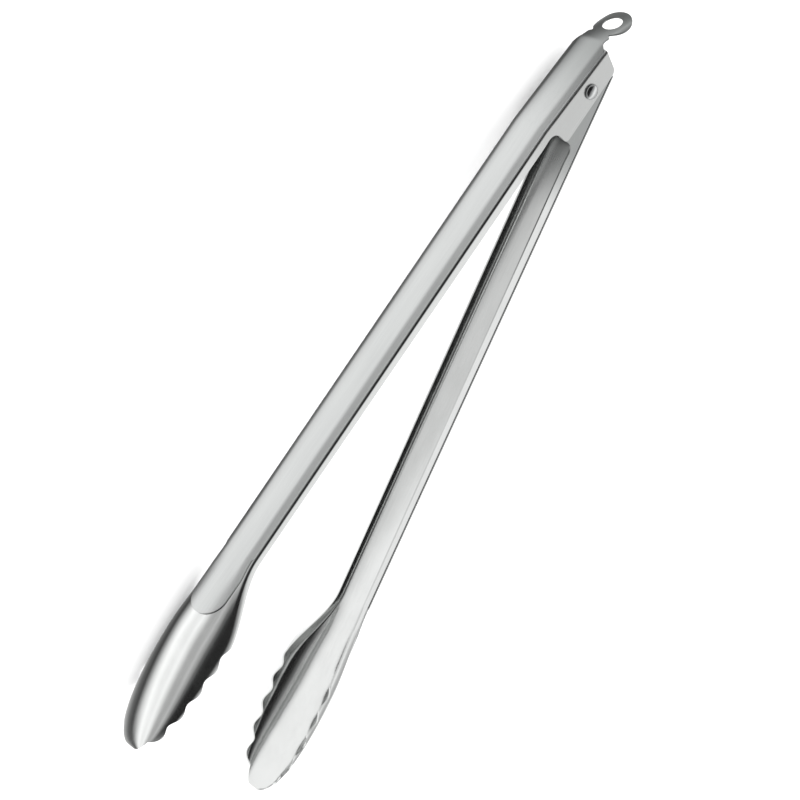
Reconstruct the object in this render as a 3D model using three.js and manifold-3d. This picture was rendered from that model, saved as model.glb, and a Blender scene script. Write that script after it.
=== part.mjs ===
// Spring-loaded kitchen tongs: two sheet-steel arms nested at a riveted hinge.
// Each arm is drawn in its own frame, in millimetres: x runs from the pivot to the tip,
// y points outward, away from the other arm, and z is the pivot axis.
import * as THREE from 'three';
import { mergeVertices } from 'three/addons/utils/BufferGeometryUtils.js';
import Module from 'manifold-3d';

const wasm = await Module();
wasm.setup();

// Overall sizes
const reach = 416;
const openAngle = 13.8;
const closedAngle = 0.6;
const closedRimShare = 0.92;

// Sheet and running gaps
const bladeSheet = 1.0;
const handleSheet = 0.8;
const seamGap = 0.3;
const cheekGap = 0.4;
const pinClearance = 0.2;
const headGap = 0.2;
const sleeveClearance = 0.3;
const stopClearance = 0.4;

// Channel section
const ringArmHalfWidth = 12.5;
const backHeight = 14.1;
const flatBackHalfWidth = 8.2;
const cornerDrop = 1.9;
const cornerBend = 1.3;
const cornerShift = 0.4;
const leastWall = 1.5;
const rimHeightAtHinge = 5.3;
const rimHeightAtScoop = 7.0;
const backSlopeStart = 33;
const backSlope = 0.0736;
const ringArmEnd = -20.5;
const plainArmEnd = -12.5;

// Cheeks, which carry the pivot
const cheekDepth = 6.3;
const cheekEnd = 29;
const cheekCornerRadius = 3;
const cheekFilletRadius = 6;
const cheekLap = 0.3;
const cheekCornerLean = 0.6;
const hiddenRimHeight = 4.4;
const endSlant = 0.32;
const endWallInset = 2;

// Scoop
const scoopHalfWidth = 21.6;
const scoopDepth = 14.7;
const scoopRoundness = 0.88;
const scoopStart = 300;
const scoopFull = 350;
const noseLength = 66;
const domeLength = 71;
const widthPower = 2.6;
const domePower = 1.55;
const domeRoot = 0.7;
const noseCut = 0.995;
const noseCap = 2.4;
const firstLobe = 343.7;
const lobePitch = 14.7;
const lobeDepth = 2.7;
const deepestNotchShare = 0.6;

// Handle cover and hanging ring
const handleEndRadius = 12.2;
const handleEnd = 339;
const handleShare = 0.62;
const ringRadius = 10.6;
const ringHoleRadius = 5.5;
const ringBend = 25;
const tongueStart = -8;
const tongueStraight = 14;
const tongueLength = 31.4;
const bendRadius = 9;
const neckHalfWidth = 8.1;
const neckRoot = 10.2;
const neckLead = 1.5;
const neckFlare = 0.7;
const neckMerge = 0.55;

// Pivot
const rivetRadius = 2.5;
const rivetHeadRadius = 4.3;
const rivetHeadHeight = 1.9;
const headRimShare = 0.3;
const roundSegments = 28;
const sleeveWall = 0.9;

// Spring
const wireRadius = 0.8;
const coilClearance = 0.4;
const coilTurnsWhole = 5;
const coilPitch = 1.9;
const legReach = 26;
const legGap = 0.3;
const wireSteps = 130;

// Gravity lock: a swinging latch on the plain arm and a catch on the ring arm
const latchPinX = 17;
const latchPinY = 2;
const latchPinRadius = 1.25;
const latchPinInset = 0.1;
const latchThickness = 2.4;
const latchSwing = 30;
const catchHalfWidth = 3;
const catchSheet = 1.2;
const catchWebX = 13.2;
const catchFootEnd = 18.2;
const catchFootHeight = 3.4;
const catchPadStart = 6;
const hookGap = 0.4;
const hookHeight = 2.3;
const hookNose = 1.6;
const hookChamfer = 0.7;
const latchArmWidth = 2.5;
const latchArmGap = 1;
const latchBossWall = 1.6;
const latchCorner = 1.6;

// Values worked out from the sizes above
const plainArmHalfWidth = ringArmHalfWidth - bladeSheet - cheekGap;
const bladeBack = backHeight - handleSheet - seamGap;
const noseStart = reach - noseLength;
const domeStart = reach - domeLength;
const holeRadius = rivetRadius + pinClearance;
const sleeveInner = rivetRadius + sleeveClearance;
const sleeveOuter = sleeveInner + sleeveWall;
const coilRadius = sleeveOuter + coilClearance + wireRadius;
const rad = THREE.MathUtils.degToRad;
const closedRimSlope = closedRimShare * Math.tan(rad(closedAngle / 2));

const ringArm = { halfWidth: ringArmHalfWidth, end: ringArmEnd, slope: backSlope };
const plainArm = { halfWidth: plainArmHalfWidth, end: plainArmEnd, slope: 0 };

const steel = {
  satin: new THREE.MeshStandardMaterial({ color: 0xc8cac9, metalness: 1, roughness: 0.42 }),
  polished: new THREE.MeshStandardMaterial({ color: 0xdddfde, metalness: 1, roughness: 0.14 }),
  rivet: new THREE.MeshStandardMaterial({ color: 0xd4d6d5, metalness: 1, roughness: 0.1 }),
  spring: new THREE.MeshStandardMaterial({ color: 0xa9acab, metalness: 1, roughness: 0.3 }),
  lock: new THREE.MeshStandardMaterial({ color: 0xb4b7b6, metalness: 1, roughness: 0.35 }),
};

// Solids

function solidFrom(geometry) {
  const bare = geometry.clone();
  bare.deleteAttribute('normal');
  bare.deleteAttribute('uv');
  const merged = mergeVertices(bare, 1e-5);
  const vertProperties = new Float32Array(merged.attributes.position.array);
  const triVerts = new Uint32Array(merged.index.array);
  return new wasm.Manifold(new wasm.Mesh({ numProp: 3, vertProperties, triVerts }));
}

function geometryFrom(solid) {
  const mesh = solid.getMesh();
  const geometry = new THREE.BufferGeometry();
  geometry.setAttribute('position', new THREE.BufferAttribute(mesh.vertProperties, 3));
  geometry.setIndex(new THREE.BufferAttribute(mesh.triVerts, 1));
  geometry.computeVertexNormals();
  return geometry;
}

function mirroredAcrossY(geometry) {
  const bare = geometry.clone();
  bare.deleteAttribute('normal');
  bare.deleteAttribute('uv');
  const mirror = mergeVertices(bare, 1e-5).scale(1, -1, 1);
  const index = mirror.index.array;
  for (let i = 0; i < index.length; i += 3) {
    [index[i], index[i + 1]] = [index[i + 1], index[i]];
  }
  mirror.computeVertexNormals();
  return mirror;
}

// A closed sheet between an outer and an inner skin, given as rows of points along x.
// Points in a row run from -z to +z.
function sheetGeometry(rows) {
  const count = rows[0].outer.length;
  const last = count - 1;
  const end = rows.length - 1;
  const positions = [];
  const index = [];
  for (const row of rows) {
    for (const point of [...row.outer, ...row.inner]) {
      positions.push(point.x, point.y, point.z);
    }
  }
  const outer = (i, j) => i * 2 * count + j;
  const inner = (i, j) => i * 2 * count + count + j;
  const quad = (a, b, c, d) => index.push(a, b, c, a, c, d);
  for (let i = 0; i < end; i += 1) {
    for (let j = 0; j < last; j += 1) {
      quad(outer(i, j), outer(i, j + 1), outer(i + 1, j + 1), outer(i + 1, j));
      quad(inner(i, j), inner(i + 1, j), inner(i + 1, j + 1), inner(i, j + 1));
    }
    quad(outer(i, 0), outer(i + 1, 0), inner(i + 1, 0), inner(i, 0));
    quad(outer(i, last), inner(i, last), inner(i + 1, last), outer(i + 1, last));
  }
  for (let j = 0; j < last; j += 1) {
    quad(outer(0, j), inner(0, j), inner(0, j + 1), outer(0, j + 1));
    quad(outer(end, j), outer(end, j + 1), inner(end, j + 1), inner(end, j));
  }
  const geometry = new THREE.BufferGeometry();
  geometry.setAttribute('position', new THREE.Float32BufferAttribute(positions, 3));
  geometry.setIndex(index);
  return geometry;
}

// A flat plate cut from an outline in x and y, between two heights in z.
function plateGeometry(shape, low, high, curveSegments = 8) {
  const options = { depth: high - low, bevelEnabled: false, curveSegments };
  const geometry = new THREE.ExtrudeGeometry(shape, options);
  return geometry.translate(0, 0, low);
}

function discGeometry(x, y, radius, low, high) {
  const shape = new THREE.Shape().absarc(x, y, radius, 0, 2 * Math.PI, false);
  return plateGeometry(shape, low, high, 14);
}

function steps(from, to, count) {
  return Array.from({ length: count + 1 }, (_, i) => from + ((to - from) * i) / count);
}

// Blade section

function backAt(arm, x) {
  return bladeBack - arm.slope * Math.max(0, backSlopeStart - x);
}

function rimAt(x) {
  if (x <= cheekEnd) {
    return hiddenRimHeight;
  }
  const filletEnd = cheekEnd + cheekFilletRadius;
  const along = THREE.MathUtils.clamp((x - filletEnd) / (scoopStart - cheekEnd), 0, 1);
  return THREE.MathUtils.lerp(rimHeightAtHinge, rimHeightAtScoop, along);
}

function channelHalf(arm, x, inset, count) {
  const back = backAt(arm, x);
  const flat = flatBackHalfWidth - (ringArmHalfWidth - arm.halfWidth);
  const top = back - inset;
  const shift = cornerShift * inset;
  const corner = new THREE.Vector2(arm.halfWidth - inset, back - cornerDrop - shift);
  const shoulder = new THREE.Vector2(flat - shift, top);
  const slope = corner.clone().sub(shoulder).normalize();
  const rimHeight = Math.min(rimAt(x), corner.y - leastWall);
  const rim = new THREE.Vector2(arm.halfWidth - inset, rimHeight);
  const flatEnd = new THREE.Vector2(shoulder.x - cornerBend, top);
  const slopeStart = shoulder.clone().addScaledVector(slope, cornerBend);
  const slopeEnd = corner.clone().addScaledVector(slope, -cornerBend);
  const wallStart = new THREE.Vector2(corner.x, corner.y - cornerBend);
  const path = new THREE.CurvePath();
  path.add(new THREE.LineCurve(new THREE.Vector2(0, top), flatEnd));
  path.add(new THREE.QuadraticBezierCurve(flatEnd, shoulder, slopeStart));
  path.add(new THREE.LineCurve(slopeStart, slopeEnd));
  path.add(new THREE.QuadraticBezierCurve(slopeEnd, corner, wallStart));
  path.add(new THREE.LineCurve(wallStart, rim));
  return steps(0, 1, count).map((share) => path.getPoint(share));
}

function rimNotchAt(x) {
  const phase = (x - firstLobe) / lobePitch;
  return x < firstLobe ? 0 : (lobeDepth * (1 - Math.cos(2 * Math.PI * phase))) / 2;
}

function bowlHalf(x, inset, count) {
  const along = THREE.MathUtils.clamp((x - noseStart) / noseLength, 0, 1);
  const down = THREE.MathUtils.clamp((x - domeStart) / domeLength, 0, 1);
  const width = (scoopHalfWidth - inset) * (1 - along ** widthPower) ** (1 / widthPower);
  const depth = (scoopDepth - inset) * (1 - down ** domePower) ** domeRoot;
  const base = -closedRimSlope * x;
  const notch = Math.min(rimNotchAt(x), deepestNotchShare * depth);
  const sweep = Math.acos((notch / depth) ** (1 / scoopRoundness));
  return steps(0, sweep, count).map((angle) => new THREE.Vector2(
    width * Math.sin(angle) ** scoopRoundness,
    base + depth * Math.max(0, Math.cos(angle)) ** scoopRoundness,
  ));
}

// One row of points across the blade at x; a positive inset gives the inner skin.
// share is how far down each side the row goes, 1 being the rim. The inner skin stops short
// of the nose by the same inset.
function bladeRow(arm, x, inset, share = 1) {
  const count = 8;
  const blend = THREE.MathUtils.smoothstep(x, scoopStart, scoopFull);
  const channel = channelHalf(arm, x, inset, count);
  const bowl = bowlHalf(x, inset, count);
  const half = channel.map((point, i) => point.clone().lerp(bowl[i], blend));
  const cut = Math.round(share * count);
  const kept = half.slice(0, cut + 1);
  const past = Math.max(0, x - noseStart);
  const placeX = x - (past * inset) / noseLength;
  const left = kept.slice(1).reverse().map((point) => new THREE.Vector3(placeX, point.y, -point.x));
  const right = kept.map((point) => new THREE.Vector3(placeX, point.y, point.x));
  return [...left, ...right];
}

function bladeStations(arm) {
  const noseEnd = noseStart + noseLength * noseCut;
  const lobeStep = lobePitch / 6;
  const lobeRows = Math.floor((noseEnd - noseCap - 0.2 * lobeStep - firstLobe) / lobeStep);
  return [
    ...steps(arm.end, cheekEnd, 4),
    backSlopeStart,
    ...steps(cheekEnd + cheekFilletRadius, scoopStart, 6),
    ...steps(scoopStart, firstLobe, 8).slice(1),
    ...steps(firstLobe, firstLobe + lobeRows * lobeStep, lobeRows).slice(1),
    ...steps(noseEnd - noseCap, noseEnd, 3),
  ];
}

function bladeSheetGeometry(arm) {
  const rows = bladeStations(arm).map((x) => ({
    outer: bladeRow(arm, x, 0),
    inner: bladeRow(arm, x, bladeSheet),
  }));
  return sheetGeometry(rows);
}

// Cheek outlines

function cheekMouth(shape) {
  const filletTop = rimHeightAtHinge + cheekLap;
  shape.lineTo(cheekEnd - cheekCornerRadius, -cheekDepth);
  shape.quadraticCurveTo(cheekEnd, -cheekDepth, cheekEnd, -cheekDepth + cheekCornerRadius);
  shape.lineTo(cheekEnd, filletTop - cheekFilletRadius);
  shape.quadraticCurveTo(cheekEnd, filletTop, cheekEnd + cheekFilletRadius, filletTop);
}

function ringArmCheek() {
  const shape = new THREE.Shape();
  const innerEnd = ringArmEnd + endSlant * (hiddenRimHeight + cheekDepth);
  shape.moveTo(ringArmEnd, hiddenRimHeight + cheekLap);
  shape.lineTo(innerEnd - cheekCornerLean, -cheekDepth + cheekCornerRadius);
  shape.quadraticCurveTo(innerEnd, -cheekDepth, innerEnd + cheekCornerRadius, -cheekDepth);
  cheekMouth(shape);
  return shape;
}

function plainArmCheek() {
  const shape = new THREE.Shape();
  shape.moveTo(-cheekDepth, hiddenRimHeight + cheekLap);
  shape.lineTo(-cheekDepth, 0);
  shape.absarc(0, 0, cheekDepth, Math.PI, 1.5 * Math.PI, false);
  cheekMouth(shape);
  return shape;
}

function bladeWithCheeks(arm, outline) {
  let blade = solidFrom(bladeSheetGeometry(arm));
  for (const side of [-1, 1]) {
    const faces = [side * (arm.halfWidth - bladeSheet), side * arm.halfWidth];
    const plate = plateGeometry(outline(), Math.min(...faces), Math.max(...faces));
    blade = blade.add(solidFrom(plate));
  }
  const drill = discGeometry(0, 0, holeRadius, -2 * arm.halfWidth, 2 * arm.halfWidth);
  return blade.subtract(solidFrom(drill));
}

// The ring arm's end is cut on a slant, from the back to the cheeks' free corners.
function slantedEndCutter() {
  const shape = new THREE.Shape();
  const high = 1.5 * backHeight;
  const low = hiddenRimHeight;
  const behind = ringArmEnd - backHeight;
  shape.moveTo(ringArmEnd, low);
  shape.lineTo(ringArmEnd - endSlant * (high - low), high);
  shape.lineTo(behind, high);
  shape.lineTo(behind, low);
  return solidFrom(plateGeometry(shape, -2 * ringArmHalfWidth, 2 * ringArmHalfWidth));
}

function ringArmBlade() {
  const blade = bladeWithCheeks(ringArm, ringArmCheek).subtract(slantedEndCutter());
  return mirroredAcrossY(geometryFrom(blade));
}

// The plain arm's end wall reaches across the hinge and stops the arm when it opens.
function plainArmBlade() {
  const stopTravel = rad(openAngle);
  const ringBackInside = backAt(ringArm, plainArmEnd) - bladeSheet - seamGap - stopClearance;
  const reachAcross = (ringBackInside + plainArmEnd * Math.sin(stopTravel)) / Math.cos(stopTravel);
  const shape = new THREE.Shape();
  shape.moveTo(plainArmEnd, -reachAcross);
  shape.lineTo(plainArmEnd + bladeSheet, -reachAcross);
  shape.lineTo(plainArmEnd + bladeSheet, bladeBack - 0.5 * bladeSheet);
  shape.lineTo(plainArmEnd, bladeBack - 0.5 * bladeSheet);
  const wallHalf = flatBackHalfWidth - endWallInset;
  const wall = plateGeometry(shape, -wallHalf, wallHalf);
  const span = 2 * plainArmHalfWidth;
  const pinHole = discGeometry(latchPinX, latchPinY, latchPinRadius + pinClearance, -span, span);
  const blade = bladeWithCheeks(plainArm, plainArmCheek).add(solidFrom(wall));
  return geometryFrom(blade.subtract(solidFrom(pinHole)));
}

// Handle covers

function handleCover(arm) {
  const from = arm.end;
  const outerInset = -(seamGap + handleSheet);
  const innerInset = -seamGap;
  const stations = [
    ...steps(from, backSlopeStart, 2),
    ...steps(cheekEnd + cheekFilletRadius, scoopStart, 6),
    ...steps(scoopStart, handleEnd + 2 * bladeSheet, 7).slice(1),
  ];
  const rows = stations.map((x) => ({
    outer: bladeRow(arm, x, outerInset, handleShare),
    inner: bladeRow(arm, x, innerInset, handleShare),
  }));
  const outline = new THREE.Shape();
  const centre = handleEnd - handleEndRadius;
  const before = from - backHeight;
  outline.moveTo(before, -handleEndRadius);
  outline.lineTo(centre, -handleEndRadius);
  outline.absarc(centre, 0, handleEndRadius, -Math.PI / 2, Math.PI / 2, false);
  outline.lineTo(before, handleEndRadius);
  const keep = plateGeometry(outline, -2 * backHeight, 2 * backHeight, 12).rotateX(Math.PI / 2);
  return solidFrom(sheetGeometry(rows)).intersect(solidFrom(keep));
}

// The tongue runs on from the cover's back, bends inward and widens into the hanging ring.
function tonguePath() {
  const startHeight = backAt(ringArm, tongueStart) + seamGap + handleSheet;
  const start = new THREE.Vector2(tongueStart, startHeight);
  const slopeAngle = Math.atan(ringArm.slope);
  const bendAngle = rad(ringBend) - slopeAngle;
  const arc = bendRadius * bendAngle;
  return (distance) => {
    const first = Math.min(distance, tongueStraight);
    const bent = (distance - tongueStraight) / bendRadius;
    const turned = THREE.MathUtils.clamp(bent, 0, bendAngle);
    const beyond = Math.max(0, distance - tongueStraight - arc);
    const heading = slopeAngle + turned;
    const chordX = bendRadius * (Math.sin(heading) - Math.sin(slopeAngle));
    const chordY = bendRadius * (Math.cos(slopeAngle) - Math.cos(heading));
    return {
      x: start.x - first * Math.cos(slopeAngle) - chordX - beyond * Math.cos(heading),
      y: start.y - first * Math.sin(slopeAngle) - chordY - beyond * Math.sin(heading),
      heading,
    };
  };
}

function tongueHalfWidth(distance) {
  const offset = distance - tongueLength;
  const round = Math.sqrt(Math.max(0, ringRadius ** 2 - offset ** 2));
  const neckPlace = tongueLength - ringRadius - neckLead;
  const before = Math.max(0, neckPlace - distance) / neckPlace;
  const flare = THREE.MathUtils.smoothstep(before, 0, neckFlare);
  const neck = THREE.MathUtils.lerp(neckHalfWidth, neckRoot, flare);
  const past = THREE.MathUtils.smoothstep(offset, -ringRadius, -neckMerge * ringRadius);
  return Math.max(round, neck * (1 - past));
}

function hangingTongue() {
  const path = tonguePath();
  const firstRound = -75;
  const lastRound = 84;
  const around = steps(firstRound, lastRound, 16).map((angle) => ringRadius * Math.sin(rad(angle)));
  const distances = [
    ...steps(0, tongueLength - ringRadius, 9),
    ...around.map((offset) => tongueLength + offset),
  ];
  const rows = distances.map((distance) => {
    const place = path(distance);
    const half = tongueHalfWidth(distance);
    const skin = (depth) => steps(-half, half, 2).map((z) => new THREE.Vector3(
      place.x + depth * Math.sin(place.heading),
      place.y - depth * Math.cos(place.heading),
      z,
    ));
    return { outer: skin(0), inner: skin(handleSheet) };
  });
  const tongue = solidFrom(sheetGeometry(rows.reverse()));
  const middle = path(tongueLength);
  const hole = discGeometry(0, 0, ringHoleRadius, -4 * handleSheet, 4 * handleSheet);
  hole.rotateX(Math.PI / 2);
  hole.rotateZ(middle.heading);
  hole.translate(middle.x, middle.y, 0);
  return tongue.subtract(solidFrom(hole));
}

function ringArmHandle() {
  const cover = handleCover(ringArm).subtract(slantedEndCutter());
  return mirroredAcrossY(geometryFrom(cover.add(hangingTongue())));
}

function plainArmHandle() {
  return geometryFrom(handleCover(plainArm));
}

// Pivot

function domedHead(base, height) {
  const rim = headRimShare * height;
  return steps(0, 90, 5).map((angle) => new THREE.Vector2(
    rivetHeadRadius * Math.cos(rad(angle)),
    base + rim + (height - rim) * Math.sin(rad(angle)),
  ));
}

function pivotRivet() {
  const seat = ringArmHalfWidth + headGap;
  const upper = [
    new THREE.Vector2(rivetRadius, seat),
    new THREE.Vector2(rivetHeadRadius, seat),
    ...domedHead(seat, rivetHeadHeight),
  ];
  const lower = upper.map((point) => new THREE.Vector2(point.x, -point.y)).reverse();
  return new THREE.LatheGeometry([...lower, ...upper], roundSegments).rotateX(Math.PI / 2);
}

function pivotSleeve() {
  const half = plainArmHalfWidth - bladeSheet - seamGap;
  const profile = [
    new THREE.Vector2(sleeveInner, -half),
    new THREE.Vector2(sleeveOuter, -half),
    new THREE.Vector2(sleeveOuter, half),
    new THREE.Vector2(sleeveInner, half),
    new THREE.Vector2(sleeveInner, -half),
  ];
  return new THREE.LatheGeometry(profile, roundSegments).rotateX(Math.PI / 2);
}

// Torsion spring: a leg along each arm's back and the coil around the sleeve.
// It is drawn in the ring arm's frame with the tongs open.
function legAngle(backInside) {
  const height = backInside - wireRadius - legGap;
  const span = Math.hypot(legReach, height);
  return Math.atan2(height, legReach) - Math.asin(coilRadius / span);
}

class SpringWire extends THREE.Curve {
  constructor() {
    super();
    const ringBackInside = backAt(ringArm, legReach) - bladeSheet;
    const plainBackInside = backAt(plainArm, legReach) - bladeSheet;
    this.ringLeg = legAngle(ringBackInside);
    this.plainLeg = -legAngle(plainBackInside) - rad(openAngle);
    this.from = Math.PI / 2 + this.ringLeg;
    this.to = this.plainLeg - Math.PI / 2 + 2 * Math.PI * coilTurnsWhole;
    this.coilLength = coilRadius * (this.to - this.from);
    this.top = (coilPitch * (this.to - this.from)) / (4 * Math.PI);
    this.total = this.coilLength + 2 * legReach;
  }

  getPoint(share, target = new THREE.Vector3()) {
    const distance = share * this.total;
    const wound = THREE.MathUtils.clamp(distance - legReach, 0, this.coilLength);
    const angle = this.from + wound / coilRadius;
    const z = this.top * (1 - (2 * wound) / this.coilLength);
    target.set(coilRadius * Math.cos(angle), coilRadius * Math.sin(angle), z);
    const before = Math.max(0, legReach - distance);
    const after = Math.max(0, distance - legReach - this.coilLength);
    target.x += before * Math.cos(this.ringLeg) + after * Math.cos(this.plainLeg);
    target.y += before * Math.sin(this.ringLeg) + after * Math.sin(this.plainLeg);
    return target;
  }
}

function torsionSpring() {
  const section = new THREE.Shape().absarc(0, 0, wireRadius, 0, 2 * Math.PI, false);
  const options = {
    steps: wireSteps,
    extrudePath: new SpringWire(),
    curveSegments: 4,
    bevelEnabled: false,
  };
  return mirroredAcrossY(new THREE.ExtrudeGeometry(section, options));
}

// Gravity lock

function lockCatch() {
  const under = (x) => backAt(ringArm, x) - bladeSheet - seamGap;
  const webEnd = catchWebX + catchSheet;
  const shape = new THREE.Shape();
  shape.moveTo(catchPadStart, under(catchPadStart));
  shape.lineTo(catchPadStart, under(catchPadStart) - catchSheet);
  shape.lineTo(catchWebX, under(catchWebX) - catchSheet);
  shape.lineTo(catchWebX, catchFootHeight);
  shape.lineTo(catchFootEnd, catchFootHeight);
  shape.lineTo(catchFootEnd, catchFootHeight + catchSheet);
  shape.lineTo(webEnd, catchFootHeight + catchSheet);
  shape.lineTo(webEnd, under(webEnd));
  return mirroredAcrossY(plateGeometry(shape, -catchHalfWidth, catchHalfWidth));
}

// The latch is drawn engaged, about its own pin, with y towards the ring arm, then mirrored.
function lockLatch() {
  const hookUnder = latchPinY + catchFootHeight + catchSheet + hookGap;
  const hookTop = hookUnder + hookHeight;
  const armInside = catchFootEnd - latchPinX + latchArmGap;
  const armOutside = armInside + latchArmWidth;
  const shape = new THREE.Shape();
  shape.absarc(0, 0, latchPinRadius + latchBossWall, Math.PI * 0.6, Math.PI * 1.95, false);
  shape.lineTo(armOutside, armInside);
  shape.lineTo(armOutside, hookTop - latchCorner);
  shape.quadraticCurveTo(armOutside, hookTop, armOutside - latchCorner, hookTop);
  shape.lineTo(hookChamfer - hookNose, hookTop);
  shape.lineTo(-hookNose, hookTop - hookChamfer);
  shape.lineTo(-hookNose, hookUnder);
  shape.lineTo(armInside, hookUnder);
  shape.lineTo(armInside, armInside + latchArmGap);
  const bore = new THREE.Path().absarc(0, 0, latchPinRadius + pinClearance, 0, 2 * Math.PI, true);
  shape.holes.push(bore);
  return mirroredAcrossY(plateGeometry(shape, -latchThickness / 2, latchThickness / 2, 12));
}

function latchPin() {
  const half = plainArmHalfWidth - latchPinInset;
  return discGeometry(0, 0, latchPinRadius, -half, half);
}

// Assembly

function named(name, geometry, material, parent) {
  const mesh = new THREE.Mesh(geometry, material.clone());
  mesh.name = name;
  parent.add(mesh);
  return mesh;
}

function buildTongs() {
  const tongs = new THREE.Group();
  const ringSide = new THREE.Group();
  const plainSide = new THREE.Group();
  ringSide.rotation.z = -rad(openAngle / 2);
  plainSide.rotation.z = rad(openAngle / 2);
  tongs.add(ringSide, plainSide);
  named('ring_arm_handle', ringArmHandle(), steel.satin, ringSide);
  named('ring_arm_blade', ringArmBlade(), steel.polished, ringSide);
  named('pivot_rivet', pivotRivet(), steel.rivet, ringSide);
  named('pivot_sleeve', pivotSleeve(), steel.lock, ringSide);
  named('torsion_spring', torsionSpring(), steel.spring, ringSide);
  named('lock_catch', lockCatch(), steel.lock, ringSide);
  named('plain_arm_handle', plainArmHandle(), steel.satin, plainSide);
  named('plain_arm_blade', plainArmBlade(), steel.polished, plainSide);
  const pin = named('latch_pin', latchPin(), steel.lock, plainSide);
  pin.position.set(latchPinX, latchPinY, 0);
  const latch = named('lock_latch', lockLatch(), steel.lock, plainSide);
  latch.position.copy(pin.position);
  latch.rotation.z = rad(latchSwing);
  const box = new THREE.Box3().setFromObject(tongs, true);
  const centre = box.getCenter(new THREE.Vector3());
  tongs.position.set(-centre.x, -centre.y, -box.min.z);
  return tongs;
}

export default buildTongs();
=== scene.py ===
import math

import bmesh
import bpy
from mathutils import Matrix, Vector


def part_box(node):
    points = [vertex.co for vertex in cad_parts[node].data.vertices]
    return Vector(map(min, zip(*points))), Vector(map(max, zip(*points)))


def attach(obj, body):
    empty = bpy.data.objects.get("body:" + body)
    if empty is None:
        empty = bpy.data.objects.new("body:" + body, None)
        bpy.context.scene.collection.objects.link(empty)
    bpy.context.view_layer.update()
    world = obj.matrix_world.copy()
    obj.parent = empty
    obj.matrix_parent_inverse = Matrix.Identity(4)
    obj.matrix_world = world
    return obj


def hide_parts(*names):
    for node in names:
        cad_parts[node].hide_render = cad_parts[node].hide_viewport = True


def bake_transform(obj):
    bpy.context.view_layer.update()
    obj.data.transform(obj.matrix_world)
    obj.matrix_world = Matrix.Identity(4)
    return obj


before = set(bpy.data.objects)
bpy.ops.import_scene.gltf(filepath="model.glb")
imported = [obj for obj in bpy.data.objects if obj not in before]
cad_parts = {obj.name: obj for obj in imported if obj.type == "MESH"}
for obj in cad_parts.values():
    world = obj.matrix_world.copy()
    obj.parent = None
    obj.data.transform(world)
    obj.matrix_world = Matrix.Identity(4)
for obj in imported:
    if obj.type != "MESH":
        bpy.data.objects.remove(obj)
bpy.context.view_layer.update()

mm = 0.001

# Shapes are drawn in an arm's own frame, in millimetres: x from the pivot to the tip,
# y outward from the other arm, z along the pivot.

hinge = {
    "halfOpening": 6.9,
    "openAngle": 13.8,
    "rivet": "pivot_rivet",
}
section = {
    "sheet": 1.0,
    "cover": 0.8,
    "seam": 0.3,
    "backHeight": 14.1,
    "flatHalf": 8.2,
    "crown": 0.5,
    "cornerDrop": 1.9,
    "bend": 1.3,
    "cornerShift": 0.4,
    "leastWall": 1.5,
    "rimAtHinge": 5.3,
    "rimAtScoop": 7.0,
    "rimRiseStart": 35.0,
    "rimRiseLength": 271.0,
    "slopeStart": 33.0,
    "stopClearance": 0.4,
    "edgeRound": 0.22,
}
ringArm = {"body": "ring_arm", "half": 12.5, "end": -20.5, "slope": 0.0736, "side": -1}
plainArm = {"body": "plain_arm", "half": 11.1, "end": -12.5, "slope": 0.0, "side": 1}
scoop = {
    "half": 21.6,
    "depth": 14.7,
    "roundness": 0.88,
    "start": 300.0,
    "full": 350.0,
    "reach": 416.0,
    "noseLength": 66.0,
    "domeLength": 71.0,
    "widthPower": 2.6,
    "domePower": 1.55,
    "domeRoot": 0.7,
    "noseCut": 0.995,
    "fineNose": 3.0,
    "firstLobe": 343.7,
    "lobePitch": 14.7,
    "lobeDepth": 2.7,
    "deepestNotch": 0.6,
    "rimSlope": 0.0048,
}

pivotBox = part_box(hinge["rivet"])
pivot = (Vector(pivotBox[0]) + Vector(pivotBox[1])) / 2


def armMatrix(arm):
    angle = math.radians(hinge["halfOpening"])
    cos, sin = math.cos(angle), math.sin(angle)
    side = arm["side"]
    turn = Matrix(((cos, -sin, 0, 0), (side * sin, side * cos, 0, 0), (0, 0, 1, 0), (0, 0, 0, 1)))
    return Matrix.Translation(pivot) @ Matrix.Scale(mm, 4) @ turn


def smoothstep(x, low, high):
    t = min(1, max(0, (x - low) / (high - low)))
    return t * t * (3 - 2 * t)


def lerp(a, b, t):
    return a + (b - a) * t


def spread(low, high, count):
    return [low + (high - low) * i / count for i in range(count + 1)]


# Section of a blade: half of it, as (z, y) points from the middle of the back to the rim.

def backAt(arm, x):
    back = section["backHeight"] - section["cover"] - section["seam"]
    return back - arm["slope"] * max(0, section["slopeStart"] - x)


def rimAt(x):
    along = min(1, max(0, (x - section["rimRiseStart"]) / section["rimRiseLength"]))
    return lerp(section["rimAtHinge"], section["rimAtScoop"], along)


def bendPoints(start, corner, end, count):
    points = []
    for i in range(1, count + 1):
        t = i / count
        points.append(start * (1 - t) ** 2 + corner * 2 * t * (1 - t) + end * t * t)
    return points


columnCounts = {"flat": 9, "shoulder": 6, "slope": 4, "corner": 8, "wall": 9}


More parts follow.
